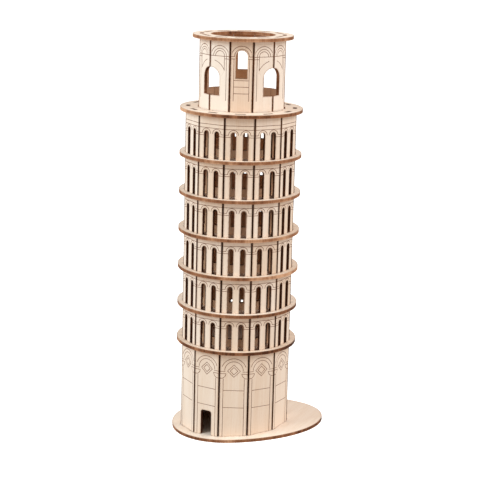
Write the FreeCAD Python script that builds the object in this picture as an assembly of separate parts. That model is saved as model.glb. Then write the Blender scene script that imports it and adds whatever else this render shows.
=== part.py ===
import FreeCAD, Part
import math
import os

# A miniature leaning bell tower, cut from thin plywood sheet and pushed together without glue.
#
# Frame: millimetres, +Z up. The origin is under the foot of the tower's axis, on the underside
# of the base plate. The tower leans towards +X. Its front, the side beside the door, faces -Y.
# "Up the tower" heights (s) run along the leaning axis from the top face of the base plate.
# A flat panel has its own coordinates: w across it (to the right as seen from outside), s up it,
# and d through its thickness, outwards from its inner face.

# ---------------------------------------------------------------- driving dimensions
sheet = 2.0                 # thickness of the plywood that everything is cut from
sides = 12                  # flat panels round the tower
lean = 3.8                  # lean of the axis from upright, degrees

wall_apothem = 31.15        # axis to the inner face of the outer wall
core_apothem = 23.63        # axis to the inner face of the inner wall and of the belfry
ring_overhang = 3.85        # gallery ring past the outer wall's outer face
crown_overhang = 4.52       # crown ring past the belfry's outer face
eye_radius = 19.2           # round hole in the seventh and crown rings
base_margin = 2.2           # base plate past the gallery rings
base_reach = 16.3           # extra length of the base plate on the side the tower leans to

base_height = 52.64         # clear height of the ground storey's panels
arcade_height = 21.22       # clear height of galleries 1 to 5
top_arcade_height = 25.26   # clear height of gallery 6
belfry_height = 41.48       # clear height of the belfry
arcades = 6                 # open galleries

edge_gap = 0.03             # each panel's side edge stops short of its neighbour's by this
fit = 0.06                  # clearance round a tab in its slot, each side
belfry_slot_slack = 0.5     # extra width of the belfry's slots, outside the panel

# ground storey panels
foot_tab_width = 3.0        # two tabs into the base plate
foot_tab_offset = 6.0       # middle of each foot tab from the panel's middle
head_tab_width = 6.0        # one tab up into the ring above
door_panel = 11             # which panel has the doorway, counted from the front one
door_width = 7.4
door_height = 14.7          # up the tower to the lintel
door_corner = 1.6

# arcade panels: a pair of round-headed openings
light_width = 3.2           # one opening
light_spacing = 7.2         # middle to middle
light_spring = 14.9         # where the round head starts, above the ring
arcade_tab_width = 12.4     # the tab under both openings

# inner wall staves
stave_light_width = 8.4     # rectangular opening in each gallery
stave_sill = 5.0            # its sill above the ring
stave_head = 16.2           # its head above the ring
stave_tab_width = 6.0

# belfry panels
belfry_tab_width = 8.0
lancet_width = 6.8          # narrow round-headed window, every third panel
lancet_sill = 19.8
lancet_spring = 32.7
bell_arch_radius = 6.2      # wide arch shared by two panels, centred on their common edge
bell_arch_sill = 9.3
bell_arch_spring = 19.5

# ---------------------------------------------------------------- derived dimensions
step = 360.0 / sides
half_turn = math.radians(step / 2)
wall_half_width = wall_apothem * math.tan(half_turn) - edge_gap
core_half_width = core_apothem * math.tan(half_turn) - edge_gap
ring_radius = wall_apothem + sheet + ring_overhang
crown_radius = core_apothem + sheet + crown_overhang
base_radius = ring_radius + base_margin
half_tab = sheet / 2        # tabs from above and below meet halfway through a ring

arcade_heights = [arcade_height] * (arcades - 1) + [top_arcade_height]
ring_tops = [base_height + sheet]
for clear_height in arcade_heights + [belfry_height]:
    ring_tops.append(ring_tops[-1] + clear_height + sheet)
arcade_floors = ring_tops[:arcades]
belfry_floor = ring_tops[arcades]
crown_top = ring_tops[arcades + 1]

V = FreeCAD.Vector
tower = FreeCAD.Placement(V(0, 0, sheet), FreeCAD.Rotation(V(0, 1, 0), lean))
os.makedirs("parts", exist_ok=True)


# ---------------------------------------------------------------- flat sheet work
def cut_sheet(points):
    """A piece of sheet with a straight-sided (w, s) outline, inner face at d = 0."""
    corners = [V(w, s, 0) for w, s in points]
    outline = Part.makePolygon(corners + corners[:1])
    return Part.Face(outline).extrude(V(0, 0, sheet))


def round_head(centre, sill, spring, radius):
    """Cutter for an opening with a half-round head."""
    left = centre - radius
    right = centre + radius
    edges = [
        Part.makeLine(V(left, spring, 0), V(left, sill, 0)),
        Part.makeLine(V(left, sill, 0), V(right, sill, 0)),
        Part.makeLine(V(right, sill, 0), V(right, spring, 0)),
        Part.Arc(V(right, spring, 0), V(centre, spring + radius, 0), V(left, spring, 0)).toShape(),
    ]
    profile = Part.Face(Part.Wire(edges))
    return profile.extrude(V(0, 0, 3 * sheet)).translate(V(0, 0, -sheet))


def door_cutter(low):
    """Cutter for a doorway with rounded top corners, open at the bottom."""
    block = Part.makeBox(door_width, door_height - low, 3 * sheet, V(-door_width / 2, low, -sheet))
    top_corners = [e for e in block.Edges
                   if abs(e.BoundBox.ZLength - 3 * sheet) < 1e-6 and e.BoundBox.YMax > low + 1]
    return block.makeFillet(door_corner, top_corners)


def tab_outline(half_width, height, foot, foot_tabs, foot_depth, head_tabs, head_depth):
    """Outline of a panel with tabs. foot(w) is the height of its lower edge at w."""
    points = [(-half_width, foot(-half_width))]
    for left, right in foot_tabs:
        points.append((left, foot(left)))
        points.append((left, foot(left) - foot_depth))
        points.append((right, foot(right) - foot_depth))
        points.append((right, foot(right)))
    points.append((half_width, foot(half_width)))
    points.append((half_width, height))
    for left, right in reversed(head_tabs):
        points.append((right, height))
        points.append((right, height + head_depth))
        points.append((left, height + head_depth))
        points.append((left, height))
    points.append((-half_width, height))
    return points


def centred(width, offset=0.0):
    """Left and right ends of a tab."""
    return (offset - width / 2, offset + width / 2)


def level(w):
    """Lower edge of a panel that stands square on a ring."""
    return 0.0


# ---------------------------------------------------------------- placing
def facing(number):
    """Direction that panel `number` faces, in degrees. Number 0 is the front."""
    return -90 + step * number


def panel_place(number, apothem, floor):
    """Placement of panel coordinates (w, s, d) on the leaning tower."""
    turn = math.radians(facing(number))
    out = V(math.cos(turn), math.sin(turn), 0)
    across = V(-math.sin(turn), math.cos(turn), 0)
    rotation = FreeCAD.Rotation(across, V(0, 0, 1), out, "ZXY")
    return tower.multiply(FreeCAD.Placement(out * apothem + V(0, 0, floor), rotation))


def set_up(shape, number, apothem, floor):
    """A copy of a flat panel, standing in its place on the tower."""
    panel = shape.copy()
    panel.Placement = panel_place(number, apothem, floor)
    return panel


def save(name, shapes):
    """Write one node: a single solid, or several separate ones."""
    solids = []
    for shape in shapes:
        if not shape.isValid() or len(shape.Solids) != 1:
            raise ValueError(name + " is not one valid solid")
        solids.append(shape.Solids[0])
    node = solids[0] if len(solids) == 1 else Part.makeCompound(solids)
    node.exportStep("parts/" + name + ".step")
    volume = sum(solid.Volume for solid in solids)
    print(f"{name}: {len(solids)} solid(s), {volume:.1f} mm3")


# ---------------------------------------------------------------- base plate
def leaning_foot(number):
    """Lower edge of a ground storey panel, cut to the base plate that it leans over."""
    turn = math.radians(facing(number))
    low_apothem = wall_apothem + (sheet if math.cos(turn) > 0 else 0.0)

    def foot(w):
        toward_lean = low_apothem * math.cos(turn) - w * math.sin(turn)
        return toward_lean * math.tan(math.radians(lean))

    return foot


foot_depth = sheet / math.cos(math.radians(lean))
foot_tabs = [centred(foot_tab_width, -foot_tab_offset), centred(foot_tab_width, foot_tab_offset)]


def upright_slot(number, tab):
    """Square-cut slot in the base plate, wide enough for a tab that passes through at a lean."""
    middle = (tab[0] + tab[1]) / 2
    place = panel_place(number, wall_apothem, 0)
    out = place.Rotation.multVec(V(0, 0, 1))
    across = place.Rotation.multVec(V(1, 0, 0))
    depth = leaning_foot(number)(middle) - foot_depth / 2
    centre = place.multVec(V(middle, depth, sheet / 2))
    level_part = math.hypot(out.x, out.y)
    thick = sheet / level_part + sheet * abs(out.z) + 2 * fit
    long = tab[1] - tab[0] + sheet * abs(across.z) + 2 * fit
    cutter = Part.makeBox(long, thick, 3 * sheet, V(-long / 2, -thick / 2, -sheet))
    turn = math.degrees(math.atan2(out.y, out.x)) + 90
    cutter.Placement = FreeCAD.Placement(V(centre.x, centre.y, 0), FreeCAD.Rotation(V(0, 0, 1), turn))
    return cutter


def base_plate():
    """Half round under the tower, drawn out to half an ellipse on the side it leans to."""
    reach = base_radius + base_reach
    round_side = Part.Arc(V(0, base_radius, 0), V(-base_radius, 0, 0), V(0, -base_radius, 0))
    long_side = Part.Ellipse(V(reach, 0, 0), V(0, base_radius, 0), V(0, 0, 0))
    quarter = math.pi / 2
    edges = [round_side.toShape(), Part.ArcOfEllipse(long_side, -quarter, quarter).toShape()]
    plate = Part.Face(Part.Wire(edges)).extrude(V(0, 0, sheet))
    slots = [upright_slot(number, tab) for number in range(sides) for tab in foot_tabs]
    return plate.cut(slots)


save("base_plate", [base_plate()])

# ---------------------------------------------------------------- ground storey
for number in range(sides):
    foot = leaning_foot(number)
    outline = tab_outline(wall_half_width, base_height, foot, foot_tabs, foot_depth,
                          [centred(head_tab_width)], half_tab)
    panel = cut_sheet(outline)
    name = f"ground_panel_{number + 1:02d}"
    if number == door_panel:
        panel = panel.cut(door_cutter(-3 * sheet))
        name = "door_panel"
    save(name, [set_up(panel, number, wall_apothem, 0)])


# ---------------------------------------------------------------- rings
def slot(number, apothem, tab_width, slack=0.0):
    """Cutter for the slot that a panel's tab enters, through a ring at any height."""
    width = tab_width + 2 * fit
    depth = sheet + 2 * fit + slack
    cutter = Part.makeBox(depth, width, 3 * sheet, V(apothem - fit, -width / 2, -2 * sheet))
    cutter.rotate(V(0, 0, 0), V(0, 0, 1), facing(number))
    return cutter


def core_well():
    """Twelve-sided hole that fits round the inner wall."""
    corner = (core_apothem + sheet + fit) / math.cos(half_turn)
    corners = []
    for number in range(sides):
        turn = math.radians(facing(number + 0.5))
        corners.append(V(corner * math.cos(turn), corner * math.sin(turn), -2 * sheet))
    return Part.Face(Part.makePolygon(corners + corners[:1])).extrude(V(0, 0, 3 * sheet))


def eye():
    """Round hole in the middle of a ring."""
    return Part.makeCylinder(eye_radius, 3 * sheet, V(0, 0, -2 * sheet))


def ring(radius, top, cutters):
    """A flat ring, its top face at a height up the tower."""
    disc = Part.makeCylinder(radius, sheet, V(0, 0, -sheet))
    disc = disc.cut(cutters)
    disc.Placement = tower.multiply(FreeCAD.Placement(V(0, 0, top), FreeCAD.Rotation()))
    return disc


for index, top in enumerate(arcade_floors):
    cutters = [slot(number, wall_apothem, arcade_tab_width) for number in range(sides)]
    if index == 0:
        cutters += [slot(number, core_apothem, stave_tab_width) for number in range(sides)]
    else:
        cutters.append(core_well())
    save(f"gallery_ring_{index + 1}", [ring(ring_radius, top, cutters)])

cutters = [slot(number, wall_apothem, head_tab_width) for number in range(sides)]
cutters += [slot(number, core_apothem, belfry_tab_width, belfry_slot_slack) for number in range(sides)]
save(f"gallery_ring_{arcades + 1}", [ring(ring_radius, belfry_floor, cutters + [eye()])])

cutters = [slot(number, core_apothem, belfry_tab_width) for number in range(sides)]
save("crown_ring", [ring(crown_radius, crown_top, cutters + [eye()])])

# ---------------------------------------------------------------- arcades
for index, floor in enumerate(arcade_floors):
    head_depth = sheet if index == arcades - 1 else half_tab
    outline = tab_outline(wall_half_width, arcade_heights[index], level,
                          [centred(arcade_tab_width)], half_tab, [centred(head_tab_width)], head_depth)
    panel = cut_sheet(outline)
    for side in (-1, 1):
        panel = panel.cut(round_head(side * light_spacing / 2, 0, light_spring, light_width / 2))
    save(f"arcade_{index + 1}_panels",
         [set_up(panel, number, wall_apothem, floor) for number in range(sides)])

# ---------------------------------------------------------------- inner wall
stave_length = belfry_floor - sheet - arcade_floors[0]
outline = tab_outline(core_half_width, stave_length, level,
                      [centred(stave_tab_width)], sheet, [centred(stave_tab_width)], half_tab)
stave = cut_sheet(outline)
for floor in arcade_floors:
    sill = floor - arcade_floors[0] + stave_sill
    light = Part.makeBox(stave_light_width, stave_head - stave_sill, 3 * sheet,
                         V(-stave_light_width / 2, sill, -sheet))
    stave = stave.cut(light)
for number in range(sides):
    save(f"inner_stave_{number + 1:02d}", [set_up(stave, number, core_apothem, arcade_floors[0])])

# ---------------------------------------------------------------- belfry
outline = tab_outline(core_half_width, belfry_height, level,
                      [centred(belfry_tab_width)], half_tab, [centred(belfry_tab_width)], sheet)
belfry_blank = cut_sheet(outline)
belfry_openings = [
    round_head(0, lancet_sill, lancet_spring, lancet_width / 2),
    round_head(core_half_width, bell_arch_sill, bell_arch_spring, bell_arch_radius),
    round_head(-core_half_width, bell_arch_sill, bell_arch_spring, bell_arch_radius),
]
for number in range(sides):
    panel = belfry_blank.cut(belfry_openings[number % 3])
    save(f"belfry_panel_{number + 1:02d}", [set_up(panel, number, core_apothem, belfry_floor)])
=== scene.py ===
# %% [markdown]
# # A leaning bell tower, laser cut from thin birch plywood
# The real object is a kit. Flat panels and rings are cut out of 2 mm birch plywood with a laser, and
# they push together with tabs and slots. So there is only one kind of piece here: a flat sheet with
# cut edges that the laser burnt brown, and thin lines engraved on its face.
# The plan is to write one sheet cutter, feed it with outlines, and stand its sheets round the tower.
# First, the packed CAD model comes in as a fixed frame. Its nodes say which pieces there are.

# %% Load the fixed frame
import bpy
import math
import numpy as np
from mathutils import Matrix, Vector
from mathutils.geometry import delaunay_2d_cdt


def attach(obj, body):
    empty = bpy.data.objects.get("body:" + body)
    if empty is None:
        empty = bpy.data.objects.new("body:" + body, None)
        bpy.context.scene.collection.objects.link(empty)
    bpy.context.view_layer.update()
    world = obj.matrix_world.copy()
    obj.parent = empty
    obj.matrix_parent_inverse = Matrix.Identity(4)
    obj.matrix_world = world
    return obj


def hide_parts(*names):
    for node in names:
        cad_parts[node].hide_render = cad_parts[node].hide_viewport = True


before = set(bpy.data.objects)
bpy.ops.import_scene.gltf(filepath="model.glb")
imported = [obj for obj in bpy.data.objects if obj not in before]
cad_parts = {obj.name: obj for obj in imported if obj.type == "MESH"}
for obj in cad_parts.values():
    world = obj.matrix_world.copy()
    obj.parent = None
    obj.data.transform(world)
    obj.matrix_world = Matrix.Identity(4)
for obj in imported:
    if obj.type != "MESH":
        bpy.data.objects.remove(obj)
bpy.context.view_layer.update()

# %% [markdown]
# ## The camera
# A small product on a white table is usually taken with a long lens from about a metre away, a little
# above it. The camera is made first, since every later decision is judged through it.
# A camera looks along its own -Z, so a turn of 90 degrees about X makes it look along +Y. The other
# three turns are yaw about Z, pitch about X and a slight roll about the line of sight.

# %% Camera
MM = 0.001
LENS = 108.19
CAMERA_AT = (38.6, -863.8, 317.9)              # millimetres
YAW, PITCH, ROLL = 1.983, -13.07, 2.48         # degrees
scene = bpy.context.scene
camera_data = bpy.data.cameras.new("camera")
camera_data.lens = LENS
camera_data.sensor_width = 36.0
camera_data.clip_start = 0.05
camera = bpy.data.objects.new("camera", camera_data)
scene.collection.objects.link(camera)
aim = Matrix.Identity(4)
for angle, axis in ((YAW, "Z"), (PITCH, "X"), (ROLL, "Y"), (90, "X")):
    aim = aim @ Matrix.Rotation(math.radians(angle), 4, axis)
camera.matrix_world = Matrix.Translation(Vector(CAMERA_AT) * MM) @ aim
scene.camera = camera
print("camera at", [round(c, 3) for c in camera.matrix_world.translation])

# Heights run up the leaning axis from the top of the base plate. A panel is drawn flat, seen from
# outside: its first coordinate runs across it from its middle, to the right, and its second runs up
# it.

# %% Kit dimensions
SHEET = 2.0
SIDES = 12
STEP = 360 // SIDES                            # degrees from one panel to the next
LEAN = math.radians(3.8)
WALL, CORE = 31.15, 23.63                      # axis to the inner face of the outer and inner wall
RING_R, CROWN_R, EYE_R = 37.0, 30.15, 19.2
BASE_R, BASE_REACH = 39.2, 55.5
FIT, EDGE_GAP = 0.06, 0.03                     # play round a tab, and beside a panel
GROUND_H, BELFRY_H = 52.64, 41.48
ARCADE_H = [21.22] * 5 + [25.26]
FOOT_TAB, FOOT_TAB_AT = 3.0, 6.0               # width, and middle of each of the two tabs
PANEL_TAB, ARCADE_TAB, BELFRY_TAB = 6.0, 12.4, 8.0
RING_TOPS = [GROUND_H + SHEET]
for clear in ARCADE_H + [BELFRY_H]:
    RING_TOPS.append(RING_TOPS[-1] + clear + SHEET)
CORE_FLOOR, BELFRY_FLOOR = RING_TOPS[0], RING_TOPS[6]
HALF_TURN = math.radians(180 / SIDES)
WALL_HALF = WALL * math.tan(HALF_TURN) - EDGE_GAP
CORE_HALF = CORE * math.tan(HALF_TURN) - EDGE_GAP
PAST_EDGE = 0.3                                # lines that leave a panel run on past its edge
TOWER = Matrix.Translation((0, 0, SHEET)) @ Matrix.Rotation(LEAN, 4, "Y")
ROUND = [f"{n + 1:02d}" for n in range(SIDES)]
print("ring tops:", [round(top, 2) for top in RING_TOPS])
print("panel widths:", round(2 * WALL_HALF, 2), round(2 * CORE_HALF, 2))

# %% [markdown]
# ## Outlines
# An outline is a closed list of points, and an engraved line is an open one. A few helpers write
# them: an arc, the outline of an opening with a round head, and a panel with tabs on its foot and
# head. Curves are drawn with enough points that no corner shows at this size.

# %% Outline helpers
def arc(centre, radius, start, end, steps=16):
    """Points on an arc, angles in degrees."""
    turns = np.radians(np.linspace(start, end, steps + 1))
    return np.stack([centre[0] + radius * np.cos(turns), centre[1] + radius * np.sin(turns)], 1)


def circle(radius, steps=192):
    """A whole circle as a closed loop."""
    return arc((0, 0), radius, 0, 360, steps)[:-1]


def box_loop(left, right, low, high):
    """A rectangle as a closed loop."""
    return np.array([(left, low), (right, low), (right, high), (left, high)], float)


def round_head(centre, sill, spring, radius, steps=18):
    """An opening with a half-round head."""
    return np.concatenate([[(centre - radius, sill), (centre + radius, sill)],
                           arc((centre, spring), radius, 0, 180, steps)])


def turned(points, degrees, out=0.0):
    """A loop drawn facing +X, moved out and turned about the middle."""
    c, s = math.cos(math.radians(degrees)), math.sin(math.radians(degrees))
    return (np.asarray(points, float) + (out, 0)) @ np.array([(c, s), (-s, c)])


def tabs(width, *middles):
    """The left and right ends of some tabs."""
    return [(middle - width / 2, middle + width / 2) for middle in middles or (0,)]


def panel_loop(half, height, foot_tabs, foot_depth, head_tabs, head_depth, foot=lambda w: 0.0):
    """A panel with tabs, where foot(w) is the height of its lower edge."""
    points = [(-half, foot(-half))]
    for left, right in foot_tabs:
        points += [(left, foot(left)), (left, foot(left) - foot_depth),
                   (right, foot(right) - foot_depth), (right, foot(right))]
    points += [(half, foot(half)), (half, height)]
    for left, right in reversed(head_tabs):
        points += [(right, height), (right, height + head_depth),
                   (left, height + head_depth), (left, height)]
    return np.array(points + [(-half, height)], float)


def with_bite(loop, before, bite):
    """A loop with more points put in before the first point that before(x, y) picks."""
    at = next(i for i, (x, y) in enumerate(loop) if before(x, y))
    return np.concatenate([loop[:at], bite, loop[at:]])


def mirrored(lines):
    """Lines and their mirror images across the middle of the panel."""
    lines = [np.asarray(line, float) for line in lines]
    return lines + [line * (-1, 1) for line in lines]


print("a ring has", len(circle(RING_R)), "points round its edge")

# %% [markdown]
# ## The sheet cutter
# A sheet could be made with booleans, but those leave long thin faces that can't carry detail. Here
# the flat pattern is triangulated instead, with every useful line forced into it: the cut edges, two
# lines a little inside each cut where the smoke stain fades, and the two sides and the bottom of each
# engraved groove. Each vertex is then given its height from its distance to the nearest engraved
# line, so the grooves are real V-shaped channels.
# First come the helpers that move outlines sideways and measure them.

# %% Sideways outlines
GROOVE_HALF = 0.22
GROOVE_DEPTH = 0.14
SMOKE_DARK, SMOKE_REACH = 0.22, 0.75
SHARPEST = 0.35                                # keeps the mitre of a sharp corner short
END_CAP = 0.6                                  # a groove runs past its ends by this share of its half


def inset(loop, amount):
    """A closed loop moved to its left by an amount."""
    ahead = np.roll(loop, -1, 0) - loop
    ahead /= np.linalg.norm(ahead, axis=1)[:, None]
    left = np.stack([-ahead[:, 1], ahead[:, 0]], 1)
    before = np.roll(left, 1, 0)
    mitre = (left + before) / np.maximum(1 + (left * before).sum(1), SHARPEST)[:, None]
    return loop + mitre * amount


def stroke_outline(line, half):
    """The closed outlines of a line of some width. A line that closes on itself has two."""
    if np.allclose(line[0], line[-1]):
        return [inset(line[:-1], half), inset(line[:-1], -half)]
    ahead = np.diff(line, axis=0)
    ahead /= np.linalg.norm(ahead, axis=1)[:, None]
    before, after = np.vstack([ahead[:1], ahead]), np.vstack([ahead, ahead[-1:]])
    left = np.stack([-before[:, 1] - after[:, 1], before[:, 0] + after[:, 0]], 1)
    left *= half / np.maximum(1 + (before * after).sum(1), SHARPEST)[:, None]
    ends = line.copy()
    ends[0] -= ahead[0] * half * END_CAP
    ends[-1] += ahead[-1] * half * END_CAP
    return [np.concatenate([ends + left, (ends - left)[::-1]])]


def area(loop):
    """The area in a loop, positive when it runs anticlockwise."""
    x, y = loop[:, 0], loop[:, 1]
    return 0.5 * float(np.sum(x * np.roll(y, -1) - np.roll(x, -1) * y))


def distance(points, starts, ends):
    """Distance from each point to the nearest of some segments."""
    best = np.full(len(points), np.inf)
    for a, b in zip(starts, ends):
        along = b - a
        share = np.clip(((points - a) @ along) / max(float(along @ along), 1e-12), 0, 1)
        best = np.minimum(best, np.linalg.norm(points - a - share[:, None] * along, axis=1))
    return best


def inside(points, loops):
    """True where a point is within an odd number of loops."""
    odd = np.zeros(len(points), bool)
    x, y = points[:, 0], points[:, 1]
    for loop in loops:
        for a, b in zip(loop, np.roll(loop, -1, 0)):
            if a[1] != b[1]:
                crosses = (a[1] > y) != (b[1] > y)
                odd ^= crosses & (x < (b[0] - a[0]) * (y - a[1]) / (b[1] - a[1]) + a[0])
    return odd


print("a circle of radius 1 has area", round(area(circle(1.0)), 3))

# %% [markdown]
# ### From a flat pattern to a closed mesh
# Triangles outside the outline or in a hole are dropped by counting how many loops they lie within.
# What is left is used twice, as the face and, turned over, as the back, and the edges that only one
# triangle uses get a wall between the two. That makes a closed mesh.
# The same distances are kept as attributes for the finish: `smoke` next to a cut, `line` in a groove,
# `cut` on the walls, and `sheet_at`, the place in the flat sheet, so that grain and plies follow each
# piece wherever it stands.

# %% Sheet cutter
FLAT_BELOW, CLEAN_BELOW = 0.15, 0.03           # fainter marks than these are left out
SMOKE_FALL, BACK_SMOKE = 1.6, 0.6              # how fast smoke fades, and its share on the back


def triangulate(loops, lines):
    """The points and triangles of a flat pattern, with its useful lines forced in."""
    points, edges = [], []

    def draw(line, closed):
        first, count = len(points), len(line)
        points.extend(Vector(p) for p in line)
        edges.extend((first + i, first + (i + 1) % count) for i in range(count if closed else count - 1))

    for loop in loops:
        for amount in (0.0, SMOKE_DARK, SMOKE_REACH):
            draw(inset(loop, amount), True)
    for line in lines:
        draw(line, False)
        for side in stroke_outline(line, GROOVE_HALF):
            draw(side, True)
    flat, _, faces, *_ = delaunay_2d_cdt(points, edges, [], 0, 1e-4, False)
    flat = np.array([tuple(p) for p in flat])
    faces = np.array([f for f in faces if len(f) == 3])
    faces = faces[inside(flat[faces].mean(1), loops)]
    a, b, c = (flat[faces[:, i]] for i in range(3))
    winding = (b - a)[:, 0] * (c - a)[:, 1] - (b - a)[:, 1] * (c - a)[:, 0]
    faces[winding < 0] = faces[winding < 0][:, ::-1]
    faces = faces[np.abs(winding) > 1e-9]
    used, faces = np.unique(faces, return_inverse=True)
    return flat[used], faces.reshape(-1, 3)


def cut_sheet(name, outline, holes=(), lines=(), grain_turn=0.0):
    """A closed mesh of a flat sheet, in millimetres, lying on z = 0 with its outer face up."""
    loops = [np.asarray(loop, float) for loop in (outline, *holes)]
    loops = [loop if (area(loop) > 0) == (i == 0) else loop[::-1] for i, loop in enumerate(loops)]
    lines = [np.asarray(line, float) for line in lines]
    flat, faces = triangulate(loops, lines)
    count = len(flat)

    ahead = [np.roll(loop, -1, 0) for loop in loops]
    to_cut = distance(flat, np.concatenate(loops), np.concatenate(ahead))
    to_line = np.full(count, np.inf)
    if lines:
        starts, ends = [line[:-1] for line in lines], [line[1:] for line in lines]
        to_line = distance(flat, np.concatenate(starts), np.concatenate(ends))
    groove = np.clip(1 - to_line / GROOVE_HALF, 0, 1)
    groove[groove < FLAT_BELOW] = 0
    smoke = np.clip(1 - to_cut / SMOKE_REACH, 0, 1) ** SMOKE_FALL
    smoke[smoke < CLEAN_BELOW] = 0

    sides = np.concatenate([faces[:, [0, 1]], faces[:, [1, 2]], faces[:, [2, 0]]])
    known = set(map(tuple, sides))
    rim = [(a, b) for a, b in map(tuple, sides) if (b, a) not in known]
    top = [tuple(f) for f in faces]
    bottom = [tuple(f[::-1] + count) for f in faces]
    walls = [(a + count, b + count, b, a) for a, b in rim]
    solid = np.concatenate([np.column_stack([flat, SHEET - GROOVE_DEPTH * groove]),
                            np.column_stack([flat, np.zeros(count)])])
    mesh = bpy.data.meshes.new(name)
    mesh.from_pydata(solid.tolist(), [], top + bottom + walls)

    c, s = math.cos(grain_turn), math.sin(grain_turn)
    sheet_at = solid.copy()
    sheet_at[:, :2] = sheet_at[:, :2] @ np.array([(c, s), (-s, c)])
    is_wall = np.repeat([False, True], [len(top) * 2, len(walls)])
    for label, kind, domain, key, values in (
            ("sheet_at", "FLOAT_VECTOR", "POINT", "vector", sheet_at),
            ("smoke", "FLOAT", "POINT", "value", np.concatenate([smoke, smoke * BACK_SMOKE])),
            ("line", "FLOAT", "POINT", "value", np.concatenate([groove, np.zeros(count)])),
            ("cut", "FLOAT", "FACE", "value", is_wall)):
        values = np.ascontiguousarray(values, np.float32).ravel()
        mesh.attributes.new(label, kind, domain).data.foreach_set(key, values)
    mesh.polygons.foreach_set("use_smooth", is_wall)
    mesh.set_sharp_from_angle(angle=math.radians(30))
    print(f"{name}: {(len(faces) + len(walls)) * 2} triangles, {len(lines)} engraved lines")
    return mesh


print("grooves are", 2 * GROOVE_HALF, "mm wide and", GROOVE_DEPTH, "mm deep")

# %% [markdown]
# ## The finish, and a small class for its maths
# Laser-cut birch plywood has two looks: the pale face with its fine grain, and the cut edge, burnt
# brown, with the plies showing as bands. A shader graph for that has dozens of Math nodes. Written
# by hand they are hard to read, so a small class wraps a socket and turns `a * b + c` into nodes.
# First comes the one function that makes every node, in a shader or in Geometry Nodes. A node's
# settings go first, since a setting such as `data_type` changes which sockets it has. All inputs of a
# Math node have the same name, so an input can also be given by number: `_0` is the first.

# %% One function for every node
def new(tree, kind, settings=(), **values):
    """A node: first its settings, then its values and links."""
    made = tree.nodes.new(kind)
    for key, value in dict(settings).items():
        setattr(made, key, value)
    for key, value in values.items():
        at = int(key[1:]) if key[0] == "_" else key.replace("_", " ")
        value = value.socket if isinstance(value, Sock) else value
        if isinstance(value, bpy.types.NodeSocket):
            tree.links.new(value, made.inputs[at])
        else:
            made.inputs[at].default_value = value
    return made


probe = bpy.data.node_groups.new("probe", "ShaderNodeTree")
print("inputs of a Math node:", [socket.name for socket in new(probe, "ShaderNodeMath").inputs])
bpy.data.node_groups.remove(probe)

# %% [markdown]
# ### Sockets as numbers
# Python calls `__mul__` for `a * b`, so the class adds a Math node there and returns its result. The
# reflected form `__rsub__` is called for `1 - mask`, where the number comes first. A Math node would
# turn a colour grey, so colours go through Mix and Vector Math.

# %% Socket maths
class Sock:
    """A shader socket that can be used in an expression."""

    def __init__(self, socket):
        self.tree, self.socket = socket.id_data, socket

    def node(self, kind, settings=(), output=0, **values):
        return Sock(new(self.tree, kind, settings, **values).outputs[output])

    def math(self, operation, a, b=0.0, clamp=False):
        return self.node("ShaderNodeMath", {"operation": operation, "use_clamp": clamp}, _0=a, _1=b)

    def __add__(self, other):
        return self.math("ADD", self, other)

    def __radd__(self, other):
        return self.math("ADD", other, self)

    def __sub__(self, other):
        return self.math("SUBTRACT", self, other)

    def __rsub__(self, other):
        return self.math("SUBTRACT", other, self)

    def __mul__(self, other):
        return self.math("MULTIPLY", self, other)

    def __rmul__(self, other):
        return self.math("MULTIPLY", other, self)

    def __truediv__(self, other):
        return self.math("DIVIDE", self, other)

    def __rtruediv__(self, other):
        return self.math("DIVIDE", other, self)

    def clamp(self):
        """Kept between 0 and 1."""
        return self.math("ADD", self, 0.0, True)

    def step(self, low, high, kind="SMOOTHSTEP"):
        """0 below low, 1 above high, and a soft change between."""
        return self.node("ShaderNodeMapRange", {"interpolation_type": kind}, Value=self,
                         From_Min=low, From_Max=high)

    def scaled(self, by):
        """A vector or colour times another, number by number."""
        return self.node("ShaderNodeVectorMath", {"operation": "MULTIPLY"}, _0=self, _1=by)

    def moved(self, by):
        """A vector plus another."""
        return self.node("ShaderNodeVectorMath", {"operation": "ADD"}, _0=self, _1=by)

    def noise(self, detail=2.0, roughness=0.5):
        """Noise from 0 to 1 at this place."""
        return self.node("ShaderNodeTexNoise", {"noise_dimensions": "3D"}, Vector=self, Scale=1.0,
                         Detail=detail, Roughness=roughness)

    def mix(self, a, b):
        """Colour a where this is 0, colour b where it is 1."""
        a, b = (colour if isinstance(colour, Sock) else (*colour, 1) for colour in (a, b))
        return self.node("ShaderNodeMix", {"data_type": "RGBA"}, output=2, _0=self, _6=a, _7=b)


print("reflected forms:", [name for name in vars(Sock) if name.startswith("__r")])

# %% [markdown]
# ### What both finishes start from
# Both materials read the attributes that the sheet cutter left, and both move the pattern on by the
# board's number. Colours are written as they would be picked on a screen, and a shader wants them
# linear, so they are converted.

# %% Start of a finish
def attribute(tree, name, output="Fac"):
    """A value that each piece carries."""
    return Sock(new(tree, "ShaderNodeAttribute", {"attribute_name": name}).outputs[output])


def flat_place(tree, board_step):
    """The place in the flat sheet, the same moved on for each board, and the board's own number."""
    at = attribute(tree, "sheet_at", "Vector")
    board = attribute(tree, "board")
    x, y, z = (board * step for step in board_step)
    return at, at.moved(at.node("ShaderNodeCombineXYZ", X=x, Y=y, Z=z)), board


def material(name):
    """A material, its node tree and its shader."""
    made = bpy.data.materials.new(name)
    made.use_nodes = True
    return made, made.node_tree, made.node_tree.nodes["Principled BSDF"]


def feed(shader, **values):
    """Links sockets to the shader's inputs."""
    for key, value in values.items():
        shader.id_data.links.new(value.socket, shader.inputs[key.replace("_", " ")])


def srgb(r, g, b):
    """A screen colour as the linear numbers that a shader takes."""
    screen = (r / 255, g / 255, b / 255)
    return tuple(c / 12.92 if c <= 0.04045 else ((c + 0.055) / 1.055) ** 2.4 for c in screen)


print("a burnt edge in linear numbers:", [round(c, 3) for c in srgb(150, 100, 69)])

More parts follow.
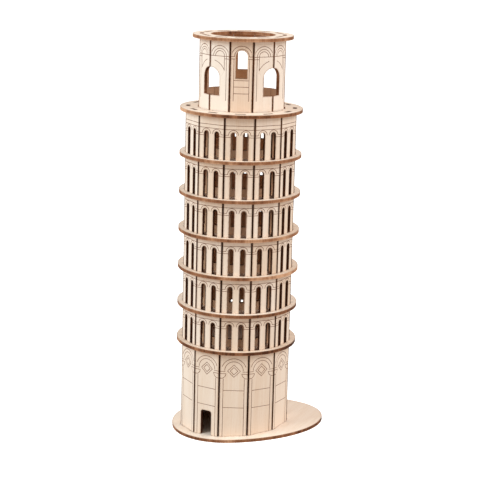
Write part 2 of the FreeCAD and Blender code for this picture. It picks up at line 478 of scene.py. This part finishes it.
# %% [markdown] ### The birch face Rotary-cut birch is pale cream with a fine straight grain, broad
# soft bands where the growth rings come to the surface, and short darker flecks. The grain is noise
# stretched along the sheet. `board` is a number that each piece gets when it is put in its place, and
# it shifts the pattern so no two pieces match. A piece's toast value above 0 gives a tan face, which is
# painted shade on the staves and on the front of the belfry, and below 0 a paler one, which is painted
# light on the belfry's arch panels. The back of every sheet is tan too: partly smoke from the laser's
# bed and partly painted shade for the inside of the tower and under the rings. Smoke stains a thin
# band by every cut, unevenly, and the engraved lines are scorched.

# %% Birch face
def birch_face():
    """The pale face of a sheet, with its grain, smoke and scorched lines."""
    made, tree, shader = material("birch_face")
    at, wood, board = flat_place(tree, (91.0, 57.0, 13.0))
    bands = wood.scaled((0.22, 0.018, 0.1)).noise(3.0, 0.55)
    grain = wood.scaled((1.9, 0.07, 0.3)).noise(4.0, 0.6)
    fibre = wood.scaled((11.0, 0.45, 1.0)).noise(2.0, 0.6)
    fleck = wood.scaled((3.4, 0.55, 1.0)).noise(1.0, 0.5).step(0.69, 0.78)
    # The toast value: above 0 it paints shade (staves, belfry front), below 0 it paints light on the belfry's
    # arch panels.
    toast_and_painted_shade = attribute(tree, "toast_and_painted_shade")
    tone = (bands - 0.5) * 0.9 + (grain - 0.5) * 0.8 + (fibre - 0.5) * 0.5 + (board - 0.5) * 0.5
    paler = at.math("MINIMUM", toast_and_painted_shade, 0.0)
    colour = (0.42 + tone + paler).clamp().mix(srgb(244, 228, 213), srgb(225, 197, 170))
    colour = (fleck * 0.30).mix(colour, srgb(184, 140, 100))
    depth = at.node("ShaderNodeSeparateXYZ", output=2, Vector=at)
    # Back faces go tan: partly smoke from the laser's bed, partly painted shade inside the tower and under
    # the rings.
    back = 1 - depth.step(0.4, 1.2)
    colour = (back + toast_and_painted_shade).clamp().mix(colour, colour.scaled((0.80, 0.56, 0.37)))
    uneven = at.scaled((0.5, 0.5, 0.5)).noise(2.0, 0.6)
    smoke = (attribute(tree, "smoke") * (uneven * 1.6)).clamp() * 0.78
    colour = smoke.mix(colour, srgb(142, 98, 66))
    scorch = (attribute(tree, "line") * 2.4).clamp() * (0.66 + uneven * 0.45)
    colour = scorch.clamp().mix(colour, srgb(112, 56, 22))
    shader.inputs["Specular IOR Level"].default_value = 0.3
    bump = at.node("ShaderNodeBump", Height=fibre * 0.6 + grain * 0.4 - fleck * 0.5, Strength=0.25,
                   Distance=0.00006)
    feed(shader, Base_Color=colour, Roughness=0.55 + (fibre - 0.5) * 0.3, Normal=bump)
    return made


BIRCH = birch_face()
print("material:", BIRCH.name, len(BIRCH.node_tree.nodes), "nodes")

# %% [markdown]
# ### The burnt edge
# A laser leaves the edge of plywood toasted brown. The plies burn differently: the middle one shows
# end grain and goes darkest. The beam pulses as it moves, which leaves fine lines across the edge,
# and where it slowed down the brown is deeper. Each piece carries its burn at each place, so an
# edge can be dark on one side of the tower and light on the other; on the seventh ring the very light
# left end is a painted highlight.

# %% Burnt edge
def burnt_edge():
    """The cut edge of a sheet, with its plies, uneven burn and any painted highlight."""
    made, tree, shader = material("burnt_edge")
    at, along, _ = flat_place(tree, (71.0, 37.0, 5.0))
    depth = at.node("ShaderNodeSeparateXYZ", output=2, Vector=at) / SHEET
    wavy = depth + (along.scaled((0.35, 0.35, 0.0)).noise(2.0) - 0.5) * 0.10
    middle = wavy.step(0.30, 0.36) * (1 - wavy.step(0.64, 0.70))
    broad = along.scaled((0.11, 0.11, 0.02)).noise(3.0, 0.55)
    patch = along.scaled((0.42, 0.42, 0.15)).noise(2.0, 0.55)
    pulse = along.scaled((3.6, 3.6, 0.12)).noise(2.0, 0.6)
    # Each piece's burn value joins in here; at the left of the seventh ring it is a painted highlight.
    edge_darkness = (0.50 + (broad - 0.5) * 1.5 + (patch - 0.5) * 0.7 + (pulse - 0.5) * 0.7 + middle * 0.18
            + attribute(tree, "burn_and_highlight"))
    light, brown, black = srgb(212, 165, 130), srgb(150, 100, 69), srgb(78, 41, 20)
    colour = edge_darkness.clamp().step(0.0, 0.55, "LINEAR").mix(light, brown)
    colour = edge_darkness.step(0.55, 1.15).mix(colour, black)
    shader.inputs["Specular IOR Level"].default_value = 0.15
    bump = at.node("ShaderNodeBump", Height=pulse + middle * 0.3, Strength=0.4, Distance=0.00008)
    feed(shader, Base_Color=colour, Roughness=0.6 + (pulse - 0.5) * 0.3, Normal=bump)
    return made


BURNT = burnt_edge()
print("material:", BURNT.name, len(BURNT.node_tree.nodes), "nodes")

# %% [markdown]
# ## Standing the sheets round the tower
# Twelve copies of a panel stand in a ring, all leaning the same way. That is a rule, so Geometry
# Nodes apply it: points on a circle, the panel as an instance on each, turned to face outwards, and
# then the whole set leans. Each instance gets its own random `board` number from a fixed seed. The
# tree ends by making the instances real and giving the faces and the cut edges their materials.

# %% The standing tree
STAND_INPUTS = (("Count", "Int", SIDES), ("First", "Int", 0), ("Every", "Int", 1),
                ("Apothem", "Float", WALL), ("Floor", "Float", 0.0), ("Lean", "Float", LEAN),
                ("Lift", "Float", SHEET), ("Toast", "Float", 0.0), ("Char", "Float", 0.6), ("Seed", "Int", 1))
FRONT = SIDES // 4                             # the first panel faces -Y, three steps before +X


def standing_tree():
    """The Geometry Nodes tree that stands a sheet round the leaning axis."""
    tree = bpy.data.node_groups.new("stand_round_tower", "GeometryNodeTree")
    face = tree.interface
    face.new_socket("Sheet", in_out="INPUT", socket_type="NodeSocketGeometry")
    for name, kind, value in STAND_INPUTS:
        face.new_socket(name, in_out="INPUT", socket_type="NodeSocket" + kind).default_value = value
    face.new_socket("Model", in_out="OUTPUT", socket_type="NodeSocketGeometry")
    given = new(tree, "NodeGroupInput").outputs

    def make(kind, settings=(), output=0, **values):
        return new(tree, kind, settings, **values).outputs[output]

    def number(operation, a, b=0.0):
        return make("ShaderNodeMath", {"operation": operation}, _0=a, _1=b)

    order = number("MULTIPLY", make("GeometryNodeInputIndex"), given["Every"])
    steps = number("SUBTRACT", number("ADD", given["First"], order), FRONT)
    turn = number("MULTIPLY", steps, math.radians(STEP))
    spot = make("ShaderNodeCombineXYZ", X=number("MULTIPLY", number("COSINE", turn), given["Apothem"]),
                Y=number("MULTIPLY", number("SINE", turn), given["Apothem"]), Z=given["Floor"])
    upright = make("ShaderNodeCombineXYZ", X=math.pi / 2, Z=number("ADD", turn, math.pi / 2))
    model = make("GeometryNodeInstanceOnPoints", Instance=given["Sheet"],
                 Points=make("GeometryNodePoints", Count=given["Count"], Position=spot),
                 Rotation=make("FunctionNodeEulerToRotation", Euler=upright))
    chance = make("FunctionNodeRandomValue", {"data_type": "FLOAT"}, output=1, Seed=given["Seed"])
    for label, value in (("board", chance), ("toast_and_painted_shade", given["Toast"]), ("burn_and_highlight", given["Char"])):
        model = make("GeometryNodeStoreNamedAttribute", {"data_type": "FLOAT", "domain": "INSTANCE"},
                     Geometry=model, Name=label, Value=value)
    model = make("GeometryNodeTransform", Geometry=model,
                 Translation=make("ShaderNodeCombineXYZ", Z=given["Lift"]),
                 Rotation=make("ShaderNodeCombineXYZ", Y=given["Lean"]))
    model = make("GeometryNodeTransform", Geometry=model, Scale=(MM, MM, MM))
    model = make("GeometryNodeRealizeInstances", Geometry=model)
    model = make("GeometryNodeSetMaterial", Geometry=model, Material=BIRCH)
    was_cut = make("GeometryNodeInputNamedAttribute", {"data_type": "FLOAT"}, Name="cut")
    is_cut = make("FunctionNodeCompare", {"data_type": "FLOAT", "operation": "GREATER_THAN"},
                  _0=was_cut, _1=0.5)
    model = make("GeometryNodeSetMaterial", Geometry=model, Selection=is_cut, Material=BURNT)
    new(tree, "NodeGroupOutput", _0=model)
    return tree


STAND = standing_tree()
print("standing tree:", len(STAND.nodes), "nodes")

# %% [markdown]
# ### From the tree to a plain mesh
# A modifier on a blank object runs the tree. Its inputs are set by their identifiers before anything
# is evaluated, and the result is copied out as a plain mesh, so no modifier is left on the piece.
# Three calls then link the piece to the scene, put it on the tower's body and let it take the place
# of its CAD nodes.

# %% Stand a sheet and make it a piece
def put_in_place(piece, nodes):
    """Links a finished piece and gives it the place of some CAD nodes."""
    scene.collection.objects.link(piece)
    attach(piece, "root")
    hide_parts(*nodes)


def stand(name, sheet_mesh, nodes, **inputs):
    """Runs the tree on a sheet, and the result takes the place of some CAD nodes."""
    sheet_mesh.materials.append(BIRCH)
    blank = bpy.data.objects.new(name + "_blank", sheet_mesh)
    scene.collection.objects.link(blank)
    modifier = blank.modifiers.new("stand", "NODES")
    modifier.node_group = STAND
    sockets = {item.name: item.identifier for item in STAND.interface.items_tree if item.in_out == "INPUT"}
    for key, value in inputs.items():
        modifier[sockets[key]] = value
    evaluated = blank.evaluated_get(bpy.context.evaluated_depsgraph_get())
    mesh = bpy.data.meshes.new_from_object(evaluated)
    mesh.name = name
    piece = bpy.data.objects.new(name, mesh)
    bpy.data.objects.remove(blank)
    put_in_place(piece, nodes)
    print(f"{name}: {len(mesh.polygons)} faces, materials {[m.name for m in mesh.materials]}")


print("tree inputs:", [name for name, *_ in STAND_INPUTS])

# %% [markdown]
# ## The ground storey
# Twelve tall blind panels, each engraved with a round arch over a lozenge, two pilasters and two
# courses. Their feet are cut at a slant, each a little differently, so that the leaning tower meets
# a level base plate. One has the doorway, which is open at its foot, so it is a bite out of the
# outline and not a hole.

# %% Ground storey
DOOR_PANEL = 11
DOOR_HALF, DOOR_H, DOOR_CORNER = 3.7, 14.7, 1.6
POST, IMPOST, CAPITAL = 6.4, 41.4, 40.0        # pilaster edge, and heights of the lines over it


def diamond(centre, size):
    """A closed lozenge on the middle of a panel."""
    return [(0, centre - size), (size, centre), (0, centre + size), (-size, centre), (0, centre - size)]


def ground_lines(foot):
    """What is engraved on a ground storey panel."""
    out = WALL_HALF + PAST_EDGE
    bowl = [(4.8, CAPITAL), (4.95, 39.3), (5.3, 38.5), (5.9, 37.8), (6.9, 37.1), (out, 37.1)]
    lines = [arc((0, 42.1), 7.5, 18.5, 161.5, 24), arc((0, 42.1), 5.6, 0, 180, 24),
             diamond(41.8, 3.9), diamond(41.8, 2.3)]
    lines += [[(-POST, height), (POST, height)] for height in (29.4, 18.4)]
    lines += mirrored([[(5.3, IMPOST), (out, IMPOST)], [(4.8, CAPITAL), (out, CAPITAL)], bowl])
    return lines + [[(side, 36.8), (side, foot(side) - 0.2)] for side in (POST, -POST)]


def slanted_foot(k):
    """The height of panel k's lower edge, as a function of the place across it."""
    facing = math.radians(STEP * k - 90)
    low = WALL + (SHEET if math.cos(facing) > 1e-9 else 0.0)
    return lambda w: (low * math.cos(facing) - w * math.sin(facing)) * math.tan(LEAN)


def doorway(foot):
    """The doorway's outline, from its left foot over the lintel to its right foot."""
    middle, spring = DOOR_HALF - DOOR_CORNER, DOOR_H - DOOR_CORNER
    return np.concatenate([[(-DOOR_HALF, foot(-DOOR_HALF))],
                           arc((-middle, spring), DOOR_CORNER, 180, 90, 6),
                           arc((middle, spring), DOOR_CORNER, 90, 0, 6),
                           [(DOOR_HALF, foot(DOOR_HALF))]])


foot_tabs = tabs(FOOT_TAB, -FOOT_TAB_AT, FOOT_TAB_AT)
for k in range(SIDES):
    foot = slanted_foot(k)
    name = "door_panel" if k == DOOR_PANEL else "ground_panel_" + ROUND[k]
    loop = panel_loop(WALL_HALF, GROUND_H, foot_tabs, SHEET / math.cos(LEAN),
                      tabs(PANEL_TAB), SHEET / 2, foot)
    if k == DOOR_PANEL:
        second_tab = foot_tabs[1][0]
        loop = with_bite(loop, lambda x, y: abs(x - second_tab) < 1e-6, doorway(foot))
    stand(name, cut_sheet(name, loop, [], ground_lines(foot)), [name],
          Count=1, First=k, Apothem=WALL, Floor=0.0, Seed=20 + k)

# %% [markdown]
# ## The arcades
# Each gallery has twelve panels with a pair of round-headed openings. The laser engraved a second
# arch round each opening, a two-line capital on each pillar and a course above. The top gallery is
# taller and has one more course.

# %% Arcades
LIGHT_AT, LIGHT_HALF, SPRING = 3.6, 1.6, 14.9  # middle and half width of an opening, foot of its arch


def arcade_lines(top):
    """What is engraved on an arcade panel."""
    out = WALL_HALF + PAST_EDGE
    courses = (18.2, 20.4) if top else (18.2,)
    lines = [arc((side, SPRING), 2.9, 0, 180, 16) for side in (-LIGHT_AT, LIGHT_AT)]
    lines.append([(-out, courses[0]), (out, courses[0])])
    lines += mirrored([[(6.5, SPRING), (out, SPRING)], [(5.3, 13.65), (out, 13.65)]])
    return lines + [[(-out, height), (out, height)] for height in courses[1:]]


for level, height in enumerate(ARCADE_H):
    name = f"arcade_{level + 1}_panels"
    top = level == len(ARCADE_H) - 1
    holes = [round_head(side, 0.0, SPRING, LIGHT_HALF, 14) for side in (-LIGHT_AT, LIGHT_AT)]
    loop = panel_loop(WALL_HALF, height, tabs(ARCADE_TAB), SHEET / 2,
                      tabs(PANEL_TAB), SHEET if top else SHEET / 2)
    stand(name, cut_sheet(name, loop, holes, arcade_lines(top)), [name],
          Apothem=WALL, Floor=RING_TOPS[level], Seed=40 + level)

# %% [markdown]
# ## The inner wall
# Behind the arcades stand twelve long staves that reach from the first ring to the seventh, each
# with a plain rectangular opening in every gallery. Plain sheet, so no lines are engraved. Their
# faces are toasted dark, which is painted shade: the inside of the tower looks dark brown through the
# arcades.

# %% Inner wall
STAVE_LIGHT_HALF, STAVE_SILL, STAVE_HEAD = 4.2, 5.0, 16.2
stave_height = BELFRY_FLOOR - SHEET - CORE_FLOOR
loop = panel_loop(CORE_HALF, stave_height, tabs(PANEL_TAB), SHEET, tabs(PANEL_TAB), SHEET / 2)
floors = [top - CORE_FLOOR for top in RING_TOPS[:6]]
holes = [box_loop(-STAVE_LIGHT_HALF, STAVE_LIGHT_HALF, floor + STAVE_SILL, floor + STAVE_HEAD)
         for floor in floors]
# The staves' toast of 0.8 is painted shade on their faces.
stand("inner_wall", cut_sheet("inner_stave", loop, holes), ["inner_stave_" + n for n in ROUND],
      Apothem=CORE, Floor=CORE_FLOOR, Toast=0.8, Seed=60)

# %% [markdown]
# ## The belfry
# Three patterns of panel repeat four times. One has a narrow window. The other two each have half of
# a wide arch on one side, so that two neighbours make the whole arch. The third pattern is the
# second one's mirror image. The panels with the narrow window, one of which faces the front, are
# toasted darker and the arch panels paler: painted shade on the belfry's front and painted light on
# the faces beside it.

# %% Belfry
ARCH_HALF, ARCH_SILL, ARCH_SPRING = 6.2, 9.3, 19.5
LANCET_HALF, LANCET_SILL, LANCET_SPRING = 3.4, 19.8, 32.7
BELFRY_FOOT = 6.7                              # where the upright lines stop


def belfry_lines(kind):
    """What is engraved on a belfry panel of each kind."""
    out = CORE_HALF + PAST_EDGE
    if kind == 0:
        lines = [arc((0, 32.6), 4.35, 0, 180, 20), arc((0, 32.6), 6.1, 24, 156, 20)]
        lines += [[(-4.5, height), (4.5, height)] for height in (18.7, 14.9, 11.0)]
        return lines + mirrored([[(4.5, 31.2), (4.5, BELFRY_FOOT)], [(4.1, 32.6), (out, 32.6)],
                                 [(3.9, 31.2), (out, 31.2)]])
    band = 32.4
    lines = [arc((0, band), 3.1, 0, 180, 16), arc((0, band), 4.45, 0, 180, 20),
             arc((0, band), 6.1, 24, 156, 20), [(-out, band), (out, band)], [(-out, 31.0), (-3.0, 31.0)],
             [(-3.05, band), (-3.05, 24.3)], [(-4.45, band), (-4.45, BELFRY_FOOT)],
             arc((6.33, 19.4), 10.7, 105, 152.6, 18)]
    return lines if kind == 1 else [np.asarray(line, float) * (-1, 1) for line in lines]


def belfry_loop(kind):
    """The outline of a belfry panel of each kind."""
    loop = panel_loop(CORE_HALF, BELFRY_H, tabs(BELFRY_TAB), SHEET / 2, tabs(BELFRY_TAB), SHEET)
    if kind == 0:
        return loop
    half_arch = np.concatenate([[(CORE_HALF, ARCH_SILL), (CORE_HALF - ARCH_HALF, ARCH_SILL)],
                                arc((CORE_HALF, ARCH_SPRING), ARCH_HALF, 180, 90, 14)])
    loop = with_bite(loop, lambda x, y: abs(x - CORE_HALF) < 1e-6 and y > 1, half_arch)
    return loop * (1 if kind == 1 else -1, 1)


# The narrow-window panels are toasted darker and the arch panels paler: painted shade on the belfry's front,
# painted light on the faces beside it.
for kind, word in enumerate(("lancet", "arch_left", "arch_right")):
    name = "belfry_" + word
    holes = [round_head(0, LANCET_SILL, LANCET_SPRING, LANCET_HALF)] if kind == 0 else []
    stand(name, cut_sheet(name, belfry_loop(kind), holes, belfry_lines(kind)),
          ["belfry_panel_" + ROUND[k] for k in range(kind, SIDES, 3)],
          Count=SIDES // 3, First=kind, Every=3, Apothem=CORE, Floor=BELFRY_FLOOR,
          Toast=0.28 if kind == 0 else -0.27, Char=0.2, Seed=70 + kind)

# %% [markdown]
# ## The rings
# Between the storeys lie flat rings, and their edges are the strongest lines on the model. They are
# single sheets, so they skip the standing tree: the mesh is moved to its place and takes both
# materials by its faces' `cut` mark. The burn on a ring's edge differs from side to side, and the
# seventh ring's edge carries a painted highlight at its left end, so the edge value is blended between
# six places round the front.

# %% Lay a sheet flat
CHAR_AT = (-180, -75, -45, -15, 15, 45, 75, 180)     # degrees round from the front
BACK_CHAR = 0.1
FLAT_TOAST = -0.15                             # rings and base plate are a little paler


def lay(name, sheet_mesh, place, board, burn_and_highlight):
    """Moves a flat sheet to its place, and it takes the CAD node's place."""
    flat = np.array([v.co for v in sheet_mesh.vertices])
    round_from_front = np.degrees(np.arctan2(flat[:, 0], -flat[:, 1]))
    burns_and_highlights = np.interp(round_from_front, CHAR_AT, (BACK_CHAR, *burn_and_highlight, BACK_CHAR))
    sheet_mesh.transform(Matrix.Scale(MM, 4) @ place)
    marks = np.zeros(len(sheet_mesh.polygons), np.float32)
    sheet_mesh.attributes["cut"].data.foreach_get("value", marks)
    sheet_mesh.materials.append(BIRCH)
    sheet_mesh.materials.append(BURNT)
    sheet_mesh.polygons.foreach_set("material_index", (marks > 0.5).astype(np.int32))
    for label, values in (("board", np.full(len(flat), board)), ("toast_and_painted_shade", np.full(len(flat), FLAT_TOAST)),
                          ("burn_and_highlight", burns_and_highlights)):
        data = sheet_mesh.attributes.new(label, "FLOAT", "POINT").data
        data.foreach_set("value", values.astype(np.float32))
    put_in_place(bpy.data.objects.new(name, sheet_mesh), [name])
    print(f"{name}: {int(marks.sum())} edge faces, burn {burns_and_highlights.min():.2f} to {burns_and_highlights.max():.2f}")


def slots(apothem, width, slack=0.0):
    """Twelve slots for tabs, round a ring."""
    half = width / 2 + FIT
    one = box_loop(-FIT, SHEET + FIT + slack, -half, half)
    return [turned(one, STEP * k - 90, apothem) for k in range(SIDES)]


well_corner = (CORE + SHEET + FIT) / math.cos(HALF_TURN)
WELL = turned(circle(well_corner, SIDES), STEP / 2 - 90)
print("the well is", round(2 * well_corner, 2), "mm across its corners")

# %% [markdown]
# ### Eight rings
# The first ring is the solid floor that the staves stand on. The next five have a twelve-sided well
# for the staves, and the seventh and the crown have a round eye. Each ring's edge colour is listed,
# and its grain turns by a random angle from a fixed seed, as the rings were cut from anywhere in the
# sheet.

# %% Rings
# Edge burn at six places round the front of each ring; the -0.8 at the left of the seventh ring is a painted
# highlight, not burn.
RING_BURN_AND_HIGHLIGHT = [(-0.05, 0.2, 0.3, 0.3, 0.45, 0.6),
             (0, 0, 0.1, 0.1, 0.25, 0.4),
             (0.15, 0.15, 0.05, -0.15, -0.5, -0.4),
             (0.1, 0.2, 0, -0.2, -0.25, -0.15),
             (0, 0.2, 0, -0.05, -0.15, 0),
             (-0.2, 0, 0.05, -0.05, -0.1, 0.1),
             (-0.8, -0.1, 0.3, 0.25, 0.2, 0.2),
             (-0.25, -0.1, 0, -0.1, -0.15, -0.15)]
BELFRY_SLACK = 0.5                             # extra width of the slots under the belfry
eye = circle(EYE_R, 128)
ring_holes = [slots(WALL, ARCADE_TAB) + slots(CORE, PANEL_TAB)]
ring_holes += [[WELL] + slots(WALL, ARCADE_TAB)] * 5
ring_holes.append([eye] + slots(WALL, PANEL_TAB) + slots(CORE, BELFRY_TAB, BELFRY_SLACK))
ring_holes.append([eye] + slots(CORE, BELFRY_TAB))
shade = np.random.default_rng(7)
for level, (top, holes, burn_and_highlight) in enumerate(zip(RING_TOPS, ring_holes, RING_BURN_AND_HIGHLIGHT)):
    crown = top == RING_TOPS[-1]
    name = "crown_ring" if crown else f"gallery_ring_{level + 1}"
    sheet = cut_sheet(name, circle(CROWN_R if crown else RING_R), holes, (), float(shade.uniform(0, 3.1)))
    lay(name, sheet, TOWER @ Matrix.Translation((0, 0, top - SHEET)), float(shade.uniform(0, 1)), burn_and_highlight)

# %% [markdown]
# ## The base plate
# A half circle on one side and half an oval on the other, drawn out to where the tower leans. The
# feet's tabs lean and the slots are cut square, so each slot is a little wider than the sheet: it is
# worked out from the tab's middle and from how far the tab leans on its way through the plate.

# %% Base plate
TRIM = 0.02                                    # keeps the outline just inside the CAD plate


def upright_slot(k, middle):
    """A square-cut slot that a leaning foot tab passes through."""
    facing = math.radians(STEP * k - 90)
    out = Vector((math.cos(facing), math.sin(facing), 0))
    across = Vector((-math.sin(facing), math.cos(facing), 0))
    depth = slanted_foot(k)(middle) - SHEET / math.cos(LEAN) / 2
    centre = TOWER @ (out * (WALL + SHEET / 2) + across * middle + Vector((0, 0, depth)))
    tower = TOWER.to_3x3()
    out, across = tower @ out, tower @ across
    thick = (SHEET / math.hypot(out.x, out.y) + SHEET * abs(out.z) + 2 * FIT) / 2
    long = (FOOT_TAB + SHEET * abs(across.z) + 2 * FIT) / 2
    slot = turned(box_loop(-thick, thick, -long, long), math.degrees(math.atan2(out.y, out.x)))
    return slot + (centre.x, centre.y)


half_round = arc((0, 0), BASE_R - TRIM, 90, 270, 96)
drawn_out = arc((0, 0), 1.0, -90, 90, 110)[1:-1] * (BASE_REACH - TRIM, BASE_R - TRIM)
holes = [upright_slot(k, middle) for k in range(SIDES) for middle in (-FOOT_TAB_AT, FOOT_TAB_AT)]
plate = cut_sheet("base_plate", np.concatenate([half_round, drawn_out]), holes, (), 0.4)
lay("base_plate", plate, Matrix.Identity(4), 0.35, (0.1, 0.1, 0, 0, 0.15, 0.25))

# %% [markdown]
# ## The floor
# A white table, as a wide disc that turns up far away, so no horizon shows from any side. It shines
# a little by itself, so that it stays plain white under any lamp. It is hidden from the light that
# bounces, because a shining floor would light the tower from below and wash out the shade.

# %% Floor
FLOOR_RADIUS, FLOOR_RIM = 8.0, 5.0
sweep = bpy.data.meshes.new("floor")
disc = circle(FLOOR_RADIUS, 36)
sides = len(disc)
sweep.from_pydata([(x, y, z) for z in (0.0, FLOOR_RIM) for x, y in disc], [],
                  [tuple(range(sides))]
                  + [((i + 1) % sides, i, i + sides, (i + 1) % sides + sides) for i in range(sides)])
floor = bpy.data.objects.new("floor", sweep)
scene.collection.objects.link(floor)
table, _, shader = material("white_table")
for key, value in (("Base Color", (0.9, 0.9, 0.9, 1)), ("Roughness", 0.9),
                   ("Emission Color", (1, 1, 1, 1)), ("Emission Strength", 0.7)):
    shader.inputs[key].default_value = value
sweep.materials.append(table)
floor.visible_diffuse = False
floor.visible_glossy = False
print("floor:", 2 * FLOOR_RADIUS, "m across")

# %% [markdown]
# ## The light
# The room gives a warm even light, and two large soft lamps stand far round to the left and the
# right. So the side faces are the brightest, the front is a little darker, and each ring throws a
# soft band of shade on the wall below it. The lamps are slightly cool against the warm room. The
# plain view transform keeps a white table white.

# %% Light
LAMP_SIZE = 0.8
TOWER_MIDDLE = Vector((0, 0, 0.12))
scene.view_settings.view_transform = "Standard"
world = bpy.data.worlds.new("white_room")
scene.world = world
world.use_nodes = True
room = world.node_tree.nodes["Background"]
room.inputs["Color"].default_value = (1, 0.94, 0.875, 1)
room.inputs["Strength"].default_value = 0.64


def soft_lamp(name, place, watts, colour):
    """A large square lamp that points at the middle of the tower."""
    data = bpy.data.lights.new(name, "AREA")
    data.size, data.energy, data.color = LAMP_SIZE, watts, colour
    lamp = bpy.data.objects.new(name, data)
    scene.collection.objects.link(lamp)
    lamp.location = place
    lamp.rotation_euler = (TOWER_MIDDLE - Vector(place)).to_track_quat("-Z", "Y").to_euler()
    print(f"{name}: {watts} W from {place}")


soft_lamp("left_lamp", (-1.11, -0.52, 0.98), 15.4, (0.84, 0.95, 1.0))
soft_lamp("right_lamp", (1.11, -0.52, 0.98), 12.0, (0.98, 0.99, 1.0))

# It has to stay within the CAD model's own box.
